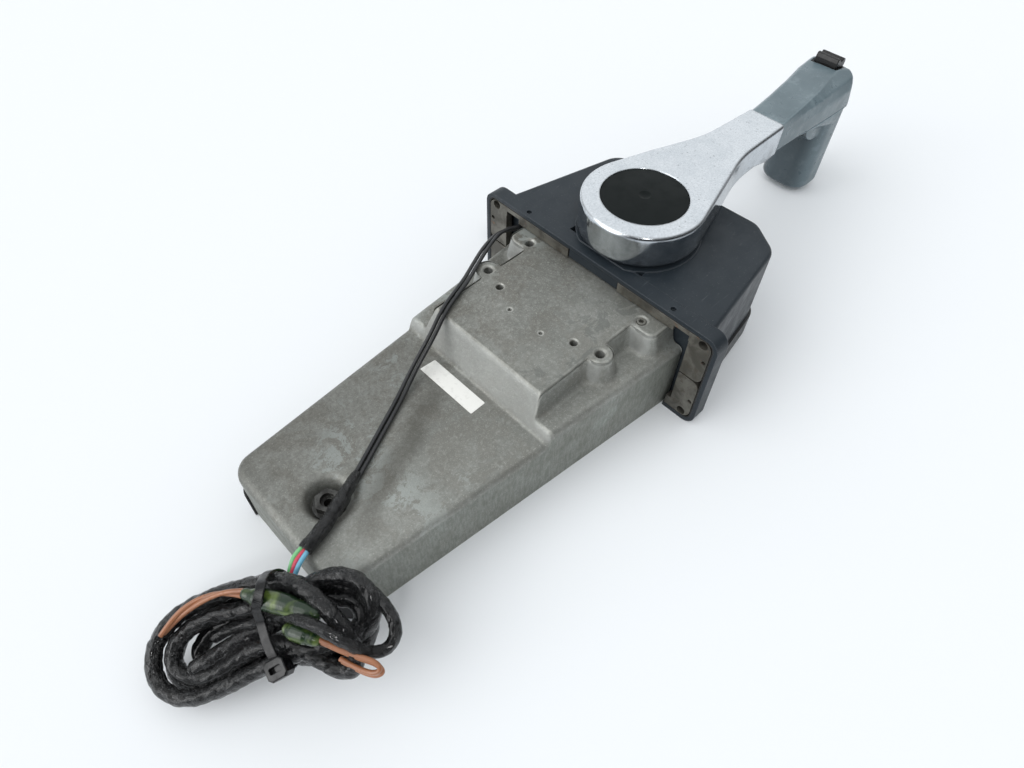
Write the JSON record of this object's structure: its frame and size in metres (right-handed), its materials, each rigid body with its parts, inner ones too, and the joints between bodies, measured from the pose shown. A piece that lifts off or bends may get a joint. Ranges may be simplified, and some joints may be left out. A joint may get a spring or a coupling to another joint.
{
  "type": "boat throttle control lever",
  "caption": "Single-lever boat engine control: chromed lever with a hand grip and trim switch on a flanged tower, with gears and cable arms in a long cast case.",
  "frame": {"origin": "centre of the four deck bolts, on the deck face of the flange", "axes": "+X up the control from the case towards the hand grip, +Y forward, +Z along the lever shaft towards the lever; the control lies on its side"},
  "size_m": [0.5425, 0.17, 0.0939],
  "materials": {
    "cast_metal": "cast, dull and weathered",
    "rubber_black": "matt",
    "plated_plate": "aged zinc plate",
    "steel": "ground",
    "gear_metal": "sintered",
    "bronze": "plain bearing",
    "chrome_plate": "worn chrome plate",
    "slate_plastic": "fine satin",
    "black_plastic": "satin",
    "grip_plastic": "grey-blue satin",
    "lead_sheath": "smooth",
    "loom_tape": "wrinkled tape",
    "core_colours": "coloured insulation",
    "brown_insulation": "brown insulation",
    "clear_green": "clear sleeve"
  },
  "bodies": {
    "control_case": {"case_casting": "cast_metal", "cable_boots": "rubber_black", "case_back_cover": "black_plastic", "back_cover_screws": "steel", "recess_sleeve_nut": "steel", "pad_plug_screw": "steel", "tower_housing": "slate_plastic", "tower_rear_cover": "black_plastic", "rear_cover_screws": "steel", "housing_screws": "steel", "deck_gasket": "rubber_black", "mount_plate_fore_upper": "plated_plate", "mount_plate_fore_lower": "plated_plate", "mount_plate_aft_upper": "plated_plate", "mount_plate_aft_lower": "plated_plate", "mount_plate_screws": "steel", "shaft_bush": "bronze", "lower_bearing_plate": "steel", "bearing_plate_screws": "steel", "shaft_thrust_ring": "black_plastic", "gear_spindle": "steel", "arm_pivot_pins": "steel", "snap_rings": "steel", "neutral_switch": "black_plastic", "detent_cartridge": "steel", "lead_grommet": "rubber_black", "lead_fore": "lead_sheath", "lead_aft": "lead_sheath", "lead_sleeves": "lead_sheath", "core_wires": "core_colours", "harness_hank": "loom_tape", "hank_tie": "black_plastic", "bullet_sleeves": "clear_green", "brown_wires_left": "brown_insulation", "brown_wires_right": "brown_insulation"},
    "control_lever": {"lever_shaft": "steel", "drive_gear": "steel", "lever_arm": "chrome_plate", "lever_bolt": "steel", "button_spring": "steel", "grip_top_cover": "grip_plastic", "grip_lower_shell": "grip_plastic", "trim_switch_body": "black_plastic"},
    "free_throttle_button": {"hub_button": "black_plastic"},
    "trim_switch_rocker": {"trim_rocker": "black_plastic"},
    "driven_gear": {"driven_gear": "gear_metal"},
    "throttle_link": {"throttle_link": "steel"},
    "shift_link": {"shift_link": "steel"},
    "throttle_arm": {"throttle_arm": "steel"},
    "shift_arm": {"shift_arm": "steel"},
    "neutral_plunger": {"neutral_switch_plunger": "black_plastic"},
    "detent_ball": {"detent_ball": "steel"}
  },
  "joints": [
    {"name": "lever_turn", "type": "hinge", "parent": "control_case", "child": "control_lever", "pos_m": [0.0385, 0, 0], "axis": [0, 0, 1], "range_deg": [-70, 85]},
    {"name": "button_push", "type": "slide", "parent": "control_lever", "child": "free_throttle_button", "axis": [0, 0, -1], "range_m": [0, 0.0035], "stiffness_N_per_m": 1500},
    {"name": "rocker_tip", "type": "hinge", "parent": "control_lever", "child": "trim_switch_rocker", "pos_m": [0.24649, 0.0094, 0.05369], "axis": [0, 1, 0], "range_deg": [-7, 7], "stiffness_Nm_per_rad": 0.3},
    {"name": "driven_turn", "type": "hinge", "parent": "control_case", "child": "driven_gear", "pos_m": [-0.0215, 0, 0], "axis": [0, 0, 1], "range_deg": [-57, 47]},
    {"name": "throttle_link_pin", "type": "hinge", "parent": "driven_gear", "child": "throttle_link", "pos_m": [-0.01674, 0.01943, -0.006], "axis": [0, 0, 1], "range_deg": [-47, 57]},
    {"name": "shift_link_pin", "type": "hinge", "parent": "driven_gear", "child": "shift_link", "pos_m": [-0.01674, -0.01943, -0.025], "axis": [0, 0, 1], "range_deg": [-47, 57]},
    {"name": "throttle_arm_turn", "type": "hinge", "parent": "control_case", "child": "throttle_arm", "pos_m": [-0.095, 0.018, -0.012], "axis": [0, 0, 1], "range_deg": [-57, 47]},
    {"name": "shift_arm_turn", "type": "hinge", "parent": "control_case", "child": "shift_arm", "pos_m": [-0.095, -0.018, -0.019], "axis": [0, 0, 1], "range_deg": [-57, 47]},
    {"name": "plunger_push", "type": "slide", "parent": "control_case", "child": "neutral_plunger", "axis": [0, -1, 0], "range_m": [0, 0.0008], "stiffness_N_per_m": 800},
    {"name": "detent_lift", "type": "slide", "parent": "control_case", "child": "detent_ball", "axis": [0, 0, 1], "range_m": [0, 0.0012], "stiffness_N_per_m": 4000}
  ],
  "couplings": [
    {"joint": "driven_turn", "follows": "lever_turn", "ratio": -0.66667},
    {"joint": "throttle_link_pin", "follows": "lever_turn", "ratio": 0.66667},
    {"joint": "shift_link_pin", "follows": "lever_turn", "ratio": 0.66667},
    {"joint": "throttle_arm_turn", "follows": "lever_turn", "ratio": -0.66667},
    {"joint": "shift_arm_turn", "follows": "lever_turn", "ratio": -0.66667}
  ]
}
